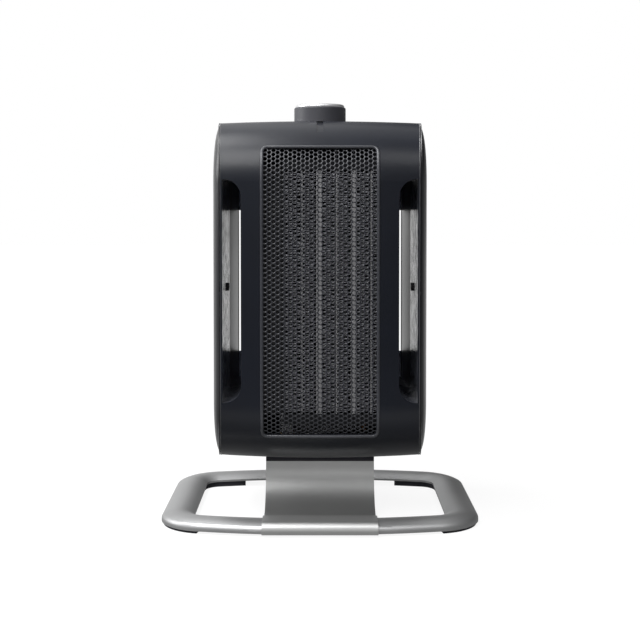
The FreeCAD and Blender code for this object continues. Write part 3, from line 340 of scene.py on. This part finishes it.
def rounded_loop(low: tuple[float, float], high: tuple[float, float], radius: float, steps: int,
                 runs: int) -> list[tuple[float, float]]:
    """Closed rounded rectangle as a row of flat points, anticlockwise from its lower left corner.

    Args:
        low: Lower left corner of the rectangle.
        high: Upper right corner of the rectangle.
        radius: Radius of its corners.
        steps: Points on each corner's quarter circle, less one.
        runs: Parts that each straight side is divided into.

    Returns:
        The points.
    """
    centres = [(low[0] + radius, low[1] + radius), (high[0] - radius, low[1] + radius),
               (high[0] - radius, high[1] - radius), (low[0] + radius, high[1] - radius)]
    corners = []
    for quarter, centre in enumerate(centres):
        turns = [math.pi * (1 + quarter / 2 + step / steps / 2) for step in range(steps + 1)]
        corners.append([(centre[0] + radius * math.cos(turn), centre[1] + radius * math.sin(turn))
                        for turn in turns])
    loop = []
    for index, corner in enumerate(corners):
        loop += corner
        start, end = corner[-1], corners[(index + 1) % len(corners)][0]
        loop += [(start[0] + (end[0] - start[0]) * run / runs, start[1] + (end[1] - start[1]) * run / runs)
                 for run in range(1, runs)]
    return loop


@dataclass
class BodyForm:
    """Outer form of the body, which the trim on it follows."""

    front: float = -76.0 * MM
    rear: float = 74.0 * MM
    bottom: float = 46.0 * MM
    top: float = 310.0 * MM
    half_width: float = 75.0 * MM
    corner: float = 47.0 * MM
    bow: float = 5.0 * MM
    crown: float = 1.2 * MM
    seam_swell: float = 3.6 * MM
    corner_steps: int = 14
    side_runs: int = 12

    def front_y(self, x: float, z: float) -> float:
        """Depth of the front face at a place seen from the front.

        Args:
            x: Place across.
            z: Height.

        Returns:
            The face's y there.
        """
        share = (x / self.half_width) ** 2
        fall = self.crown * share
        over = max(0.0, z - (self.top - fall - self.corner), self.bottom + fall + self.corner - z)
        return self.front + self.bow * share + self.corner - math.sqrt(self.corner ** 2 - over ** 2)

    def seam_loop(self, sunk: float) -> list[Vector]:
        """Right-hand seam between cover and side panel, all round the body.

        Args:
            sunk: How far the loop lies under the surface.

        Returns:
            The points of the loop.
        """
        middle = (self.front + self.rear) / 2
        half_depth = (self.rear - self.front) / 2
        low = (self.front + self.bow + sunk, self.bottom + self.crown + sunk)
        high = (self.rear - self.bow - sunk, self.top - self.crown - sunk)
        loop = []
        for y, z in rounded_loop(low, high, self.corner - sunk, self.corner_steps, self.side_runs):
            swell = self.seam_swell * (1 - ((y - middle) / half_depth) ** 2)
            loop.append(Vector((self.half_width + swell, y, z)))
        return loop


@dataclass
class BodyTrim:
    """Rounded edges of covers and side panels along their seams, and the bezel round the grille; the seam
    beads are much paler than the mouldings, a painted highlight on top of the real rounding.
    """

    form: BodyForm
    bezel_rim: float = 2.4 * MM
    bezel_corner: float = 5.5 * MM
    bezel_rise: float = 0.8 * MM
    bezel_skirt: float = 5.4 * MM
    ridge_steps: int = 8
    corner_steps: int = 8
    side_runs: int = 40
    bead: float = 0.42 * MM
    bead_sides: int = 8
    bead_sunk: float = 0.3 * MM
    panel_step: float = 0.75 * MM
    cover_step: float = -0.45 * MM

    def build(self) -> None:
        """Builds the bezel and the beads along both seams."""
        self.bezel()
        for name, step in (("panel_edge", self.panel_step), ("cover_edge", self.cover_step)):
            for hand in Hand:
                self.seam_bead(hand, name, step)

    def seam_bead(self, hand: Hand, name: str, step: float) -> bpy.types.Object:
        """Builds one thin bead along a seam.

        Args:
            hand: Side of the body.
            name: Name of the edge.
            step: Distance outwards from the seam.

        Returns:
            The piece.
        """
        turns = [2 * math.pi * side / self.bead_sides for side in range(self.bead_sides)]
        ring = [(self.bead * math.cos(turn), self.bead * math.sin(turn)) for turn in turns]
        loop = [Vector((hand.value * (point.x + step), point.y, point.z))
                for point in self.form.seam_loop(self.bead_sunk)]
        # The pale bead paints a highlight line along the seam.
        return new_piece(hand.label(name), sweep(loop, ring, X_AXIS), EDGE_PAINTED_HIGHLIGHT, HOUSING)

    def bezel(self) -> bpy.types.Object:
        """Builds the bezel as a rounded ridge that follows the front face.

        Returns:
            The piece, which stands for the plainer frame of the solids.
        """
        low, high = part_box("grille_bezel")
        rim, rise, skirt = self.bezel_rim, self.bezel_rise, self.bezel_skirt
        ridge = [(rim * (0.5 - 0.5 * math.cos(turn)), -rise * math.sin(turn))
                 for turn in (math.pi * step / self.ridge_steps for step in range(self.ridge_steps + 1))]
        profile = ridge + [(rim, skirt), (0.0, skirt)]
        loop = rounded_loop((low[0], low[2]), (high[0], high[2]), self.bezel_corner, self.corner_steps,
                            self.side_runs)
        path = [Vector((x, self.form.front_y(x, z), z)) for x, z in loop]
        piece = new_piece("bezel_ridge", sweep(path, profile, Y_AXIS), BEZEL_SATIN, HOUSING)
        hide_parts("grille_bezel")
        return piece


@dataclass
class SlotEnds:
    """Plates that close each side slot above and below its window at the rear; their pale tint is painted
    light that fills the dark slots.
    """

    inner: float = 59.8 * MM
    outer: float = 70.2 * MM
    bottom: float = 95.3 * MM
    top: float = 263.7 * MM
    window_bottom: float = 117.9 * MM
    window_top: float = 239.8 * MM
    depth: float = 66.1 * MM
    thickness: float = 0.6 * MM
    edge: float = 0.2 * MM
    edge_steps: int = 2

    def build(self) -> None:
        """Builds one piece for each side from its two plates."""
        for hand in Hand:
            plates = bmesh.new()
            for low, high in ((self.bottom, self.window_bottom), (self.window_top, self.top)):
                self.plate(plates, hand, low, high)
            # The pale plates paint the light inside each slot.
            new_piece(hand.label("slot_end"), plates, SLOT_END_PAINTED_LIGHT, HOUSING)

    def plate(self, plates: bmesh.types.BMesh, hand: Hand, low: float, high: float) -> None:
        """Adds one plate with softened edges.

        Args:
            plates: Mesh to add to.
            hand: Side of the slot.
            low: Lower edge.
            high: Upper edge.
        """
        made = bmesh.ops.create_cube(plates, size=1.0)["verts"]
        size = Vector((self.outer - self.inner, self.thickness, high - low))
        middle = Vector((hand.value * (self.inner + self.outer) / 2, self.depth + self.thickness / 2,
                         (low + high) / 2))
        for vert in made:
            vert.co = middle + vert.co * size
        edges = {edge for vert in made for edge in vert.link_edges}
        bmesh.ops.bevel(plates, geom=list(edges), offset=self.edge, segments=self.edge_steps,
                        affect="EDGES")


@dataclass
class FrontGrille:
    """Perforated sheet with rolled ends behind the bezel; the rim of each hole is drawn in."""

    pitch: float = 3.67 * MM
    hole_radius: float = 1.42 * MM
    rim_width: float = 0.34 * MM
    rim_depth: float = 0.35 * MM
    hole_sides: int = 12
    thickness: float = 0.8 * MM
    rim_shading: float = 50.0
    roll_radius: float = 44.8 * MM
    weld: float = 0.02 * MM
    half_width: float = field(init=False)
    front: float = field(init=False)
    middle: float = field(init=False)
    flat_half: float = field(init=False)
    half_length: float = field(init=False)

    def __post_init__(self) -> None:
        """Takes the reach of the sheet from the plainer sheet of the solids."""
        low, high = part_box("front_grille")
        self.half_width = high[0]
        self.front = low[1]
        self.middle = (low[2] + high[2]) / 2
        rise = (high[2] - low[2]) / 2
        depth = high[1] - low[1] - self.thickness
        roll_angle = math.acos(1 - depth / self.roll_radius)
        self.flat_half = rise - self.roll_radius * math.sin(roll_angle)
        self.half_length = self.flat_half + self.roll_radius * roll_angle

    def build(self) -> bpy.types.Object:
        """Builds the sheet flat, trims it and rolls it onto its path.

        Returns:
            The piece, which stands for the plainer sheet of the solids.
        """
        sheet = self.cells()
        for axis, reach in ((X_AXIS, self.half_width), (Z_AXIS, self.half_length)):
            for sign in (-1, 1):
                bmesh.ops.bisect_plane(sheet, geom=sheet.verts[:] + sheet.edges[:] + sheet.faces[:],
                                       plane_co=axis * sign * reach, plane_no=axis * sign,
                                       clear_outer=True)
        for vert in sheet.verts:
            vert.co = self.rolled(vert.co)
        bmesh.ops.recalc_face_normals(sheet, faces=sheet.faces)
        if sum(face.normal.y for face in sheet.faces) > 0:
            bmesh.ops.reverse_faces(sheet, faces=sheet.faces)
        bmesh.ops.solidify(sheet, geom=sheet.faces[:], thickness=self.thickness)
        piece = new_piece("perforated_sheet", sheet, GRILLE_PAINT, HOUSING)
        smooth(piece.data, self.rim_shading)
        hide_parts("front_grille")
        return piece

    def rolled(self, flat: Vector) -> Vector:
        """Place on the rolled sheet of a point of the flat one.

        Args:
            flat: Point of the flat sheet: across, depth behind its face, along.

        Returns:
            The point in the frame.
        """
        over = max(0.0, abs(flat.z) - self.flat_half)
        turn = over / self.roll_radius
        radius = self.roll_radius - flat.y
        straight = math.copysign(min(abs(flat.z), self.flat_half), flat.z)
        lift = math.copysign(radius * math.sin(turn), flat.z)
        back = self.roll_radius - radius * math.cos(turn)
        return Vector((flat.x, self.front + back, self.middle + straight + lift))

    def cells(self) -> bmesh.types.BMesh:
        """Flat field of six-sided cells with a round hole in each.

        Returns:
            The field, a little larger than the sheet.
        """
        sheet = bmesh.new()
        step = self.pitch * math.sqrt(3) / 2
        columns = int(self.half_width / step) + 2
        rows = int(self.half_length / self.pitch) + 2
        for column in range(-columns, columns + 1):
            shift = self.pitch / 2 if column % 2 else 0.0
            for row in range(-rows, rows + 1):
                self.cell(sheet, Vector((column * step, 0.0, row * self.pitch + shift)))
        bmesh.ops.remove_doubles(sheet, verts=sheet.verts[:], dist=self.weld)
        return sheet

    def cell(self, sheet: bmesh.types.BMesh, centre: Vector) -> None:
        """Adds one cell: the hole's edge, its drawn-in rim and the web round it.

        Args:
            sheet: Mesh to add to.
            centre: Middle of the hole.
        """
        corner = self.pitch / math.sqrt(3)
        sunk = Y_AXIS * self.rim_depth
        loops = [[], [], []]
        for index in range(self.hole_sides):
            turn = 2 * math.pi * index / self.hole_sides
            ray = Vector((math.cos(turn), 0.0, math.sin(turn)))
            web = corner if index % 2 == 0 else corner * math.cos(math.pi / 6)
            loops[0].append(sheet.verts.new(centre + ray * self.hole_radius + sunk))
            loops[1].append(sheet.verts.new(centre + ray * (self.hole_radius + self.rim_width)))
            loops[2].append(sheet.verts.new(centre + ray * web))
        for inner, outer in zip(loops, loops[1:]):
            for index in range(self.hole_sides):
                after = (index + 1) % self.hole_sides
                sheet.faces.new((inner[index], inner[after], outer[after], outer[index]))


@dataclass
class FoldedFins:
    """Close folds of thin sheet between the upright strips of the element."""

    fold: float = 2.7 * MM
    sheet: float = 0.25 * MM
    crest_points: int = 3
    crest_power: float = 0.7
    margin: float = 0.4 * MM
    strip_gap: float = 6 * MM

    def build(self) -> bpy.types.Object:
        """Builds all fin columns as one piece.

        Returns:
            The piece, which stands for the coarser folds of the solids.
        """
        low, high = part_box("fin_columns")
        fins = bmesh.new()
        for left, right in self.columns():
            self.column(fins, left, right, low, high)
        bmesh.ops.recalc_face_normals(fins, faces=fins.faces)
        bmesh.ops.solidify(fins, geom=fins.faces[:], thickness=self.sheet)
        piece = new_piece("folded_fins", fins, FIN_METAL, HOUSING)
        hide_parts("fin_columns")
        return piece

    def columns(self) -> list[tuple[float, float]]:
        """Left and right limits of the columns, between the solids' upright strips.

        Returns:
            One pair for each column, from left to right.
        """
        strips = []
        for node in ("element_rails", "separator_plates", "heating_bars"):
            xs = sorted(vert.co.x for vert in frame["nodes"][node].data.vertices)
            start = xs[0]
            for before, after in zip(xs, xs[1:]):
                if after - before > self.strip_gap:
                    strips.append((start, before))
                    start = after
            strips.append((start, xs[-1]))
        strips.sort()
        return [(left[1], right[0]) for left, right in zip(strips, strips[1:])]

    def column(self, fins: bmesh.types.BMesh, left: float, right: float, low: Vector, high: Vector
               ) -> None:
        """Adds one column of rounded folds.

        Args:
            fins: Mesh to add to.
            left: Left limit.
            right: Right limit.
            low: Lowest corner of the fins' space.
            high: Highest corner of the fins' space.
        """
        steps = 2 * self.crest_points
        count = int((high[2] - low[2]) / self.fold) * steps
        rise = (high[2] - low[2]) / count
        middle = (left + right) / 2
        half = (right - left) / 2 - self.margin
        rows = []
        for index in range(count + 1):
            swing = math.sin(math.pi * (index / self.crest_points - 0.5))
            reach = math.copysign(abs(swing) ** self.crest_power, swing)
            x = middle + half * reach
            z = low[2] + index * rise
            rows.append([fins.verts.new((x, y, z)) for y in (low[1], high[1])])
        for under, over in zip(rows, rows[1:]):
            fins.faces.new((under[0], under[1], over[1], over[0]))


@dataclass
class Solids:
    """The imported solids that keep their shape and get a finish."""

    slot_finish: dict[str, Finish]
    node_finish: dict[str, Finish]

    def dress(self) -> None:
        """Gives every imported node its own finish, or else that of its slot."""
        slots = {part["node"]: part["material_slot"] for part in frame["record"]["subparts"]}
        for name, node in frame["nodes"].items():
            finish = self.node_finish.get(name, self.slot_finish[slots[name]])
            node.data.materials.clear()
            node.data.materials.append(finish.material())
            LOG.info("%s: %s", name, finish.name)


@dataclass(frozen=True)
class Lamp:
    """One soft square lamp that points at the middle of the body."""

    name: str
    place: tuple[float, float, float]
    size: float
    power: float
    aim: tuple[float, float, float] = (0.0, 0.0, 0.17)

    def build(self) -> None:
        """Adds the lamp to the scene."""
        data = bpy.data.lights.new(self.name, "AREA")
        data.size = self.size
        data.energy = self.power
        lamp = bpy.data.objects.new(self.name, data)
        lamp.location = self.place
        heading = Vector(self.aim) - Vector(self.place)
        lamp.rotation_euler = heading.to_track_quat("-Z", "Y").to_euler()
        bpy.context.scene.collection.objects.link(lamp)


LAMPS = (
    Lamp("key_lamp", (-0.5, -1.0, 1.35), 0.8, 19.0),
    Lamp("top_lamp", (-0.6, -0.1, 1.4), 0.7, 15.0),
    Lamp("rim_lamp", (0.1, 0.45, 1.45), 1.0, 2.5),
    Lamp("side_lamp", (-1.3, 0.1, 0.75), 0.8, 12.0),
    Lamp("right_lamp", (0.55, -1.0, 1.35), 0.6, 4.0),
    Lamp("front_lamp", (0.0, -1.9, 0.42), 0.4, 1.0),
)


@dataclass
class Studio:
    """Pale floor, white surroundings, soft lamps and the camera.

    A level is a brightness where 1 is white. A span gives the headings or, for the floor, the places
    in metres between which one level passes into the next.
    """

    lamps: tuple[Lamp, ...]
    distance: float = 0.979
    height: float = 0.246
    focal: float = 68.0
    sensor: float = 36.0
    shift: float = -0.13
    pitch: float = 1.6
    ambient: float = 0.18
    left_level: float = 0.55
    right_level: float = 0.18
    side_span: tuple[float, float] = (-0.7, 0.7)
    front_lift: float = 2.2
    lift_span: tuple[float, float] = (0.0, 0.3)
    behind_span: tuple[float, float] = (-0.1, 0.4)
    back_right_level: float = 0.25
    low_back_span: tuple[float, float] = (-0.2, 0.5)
    high_right_level: float = 0.05
    high_back_span: tuple[float, float] = (-0.12, 0.12)
    high_span: tuple[float, float] = (0.12, 0.2)
    floor_half: float = 6.0
    floor_tint: float = 0.13
    floor_near: float = 0.90
    floor_far: float = 1.0
    floor_away_span: tuple[float, float] = (0.3, 1.2)
    floor_front_share: float = 0.03
    floor_front_span: tuple[float, float] = (-0.42, -0.3)
    # Gloss glow of the floor: a painted bright band just in front, dropping to a painted shadow near the
    # object.
    floor_front_glow: float = 0.75
    floor_painted_shadow_glow: float = 0.25
    floor_near_span: tuple[float, float] = (-0.18, -0.12)
    floor_rear_glow: float = 0.55
    floor_rear_span: tuple[float, float] = (0.0, 0.5)

    def build(self) -> None:
        """Sets up everything round the object."""
        bpy.context.scene.view_settings.view_transform = "Standard"
        self.camera()
        self.world()
        self.floor()
        for lamp in self.lamps:
            lamp.build()

    def camera(self) -> None:
        """Places the camera level with the upper part of the body, with a little pitch."""
        data = bpy.data.cameras.new("photo_camera")
        data.lens = self.focal
        data.sensor_width = self.sensor
        data.shift_y = self.shift
        camera = bpy.data.objects.new("photo_camera", data)
        camera.location = (0.0, -self.distance, self.height)
        camera.rotation_euler = (math.radians(90 - self.pitch), 0.0, 0.0)
        bpy.context.scene.collection.objects.link(camera)
        bpy.context.scene.camera = camera

    def world(self) -> None:
        """Soft surroundings: white behind the object, dimmer in front and to the right.

        The camera sees plain white; gloss sees the brighter and dimmer sides of the room.
        """
        world = bpy.data.worlds.new("studio")
        graph = Graph(world)
        heading = graph.add("ShaderNodeTexCoord").outputs["Generated"]
        way = graph.add("ShaderNodeSeparateXYZ", {0: heading}).outputs
        across = graph.ramp(way["X"], self.side_span, (self.left_level, self.right_level))
        lift = graph.ramp(way["Z"], self.lift_span, (1.0, self.front_lift))
        front = graph.compute("MULTIPLY", across, lift)
        low_back = graph.ramp(way["X"], self.low_back_span, (1.0, self.back_right_level))
        high_back = graph.ramp(way["X"], self.high_back_span, (1.0, self.high_right_level))
        high = graph.ramp(way["Z"], self.high_span, (0.0, 1.0))
        behind = graph.ramp(way["Y"], self.behind_span, (0.0, 1.0))
        room = graph.mix(behind, front, graph.mix(high, low_back, high_back))
        seen, gloss = graph.rays()
        share = graph.ramp(gloss, (0.0, 1.0), (self.ambient, 1.0))
        level = graph.mix(seen, graph.compute("MULTIPLY", room, share), 1.0)
        shade = graph.add("ShaderNodeBackground", {"Color": WHITE, "Strength": level})
        graph.add("ShaderNodeOutputWorld", {"Surface": shade.outputs["Background"]})
        bpy.context.scene.world = world

    def floor(self) -> None:
        """White floor that keeps a soft shadow; its glow for gloss is painted: dimmer near the object as a
        painted shadow, bright in a band just in front, and dark far in front.
        """
        mesh = bpy.data.meshes.new("floor")
        half = self.floor_half
        mesh.from_pydata([(-half, -half, 0), (half, -half, 0), (half, half, 0), (-half, half, 0)], [],
                         [(0, 1, 2, 3)])
        floor = bpy.data.objects.new("floor", mesh)
        bpy.context.scene.collection.objects.link(floor)
        graph = Graph(bpy.data.materials.new("studio_floor"))
        matt = graph.add("ShaderNodeBsdfDiffuse", {"Color": [self.floor_tint] * 3 + [1.0]})
        place = graph.add("ShaderNodeTexCoord").outputs["Object"]
        depth = graph.add("ShaderNodeSeparateXYZ", {0: place}).outputs["Y"]
        # Painted light for gloss: a bright band in front of the object, a painted shadow where the glow
        # drops near it, and dark far in front.
        near = graph.ramp(depth, self.floor_near_span, (self.floor_front_glow, self.floor_painted_shadow_glow))
        front = graph.ramp(depth, self.floor_front_span, (self.floor_front_share, 1.0))
        rear = graph.ramp(depth, self.floor_rear_span, (0.0, self.floor_rear_glow))
        room = graph.compute("MULTIPLY_ADD", near, front, rear)
        away = graph.add("ShaderNodeVectorMath", {0: place}, operation="LENGTH").outputs["Value"]
        white = graph.ramp(away, self.floor_away_span, (self.floor_near, self.floor_far))
        seen, gloss = graph.rays()
        shine = graph.compute("MULTIPLY_ADD", gloss, room, graph.compute("MULTIPLY", seen, white))
        glow = graph.add("ShaderNodeEmission", {"Color": WHITE, "Strength": shine})
        both = graph.add("ShaderNodeAddShader", {0: matt.outputs[0], 1: glow.outputs[0]})
        graph.add("ShaderNodeOutputMaterial", {"Surface": both.outputs[0]})
        mesh.materials.append(graph.owner)


def main() -> None:
    """Builds and dresses the heater, then its surroundings."""
    logging.basicConfig(level=logging.INFO, format="%(name)s %(message)s")
    Solids(SLOT_FINISH, NODE_FINISH).dress()
    BodyTrim(BodyForm()).build()
    SlotEnds().build()
    FrontGrille().build()
    FoldedFins().build()
    Studio(LAMPS).build()


if __name__ == "__main__":
    main()
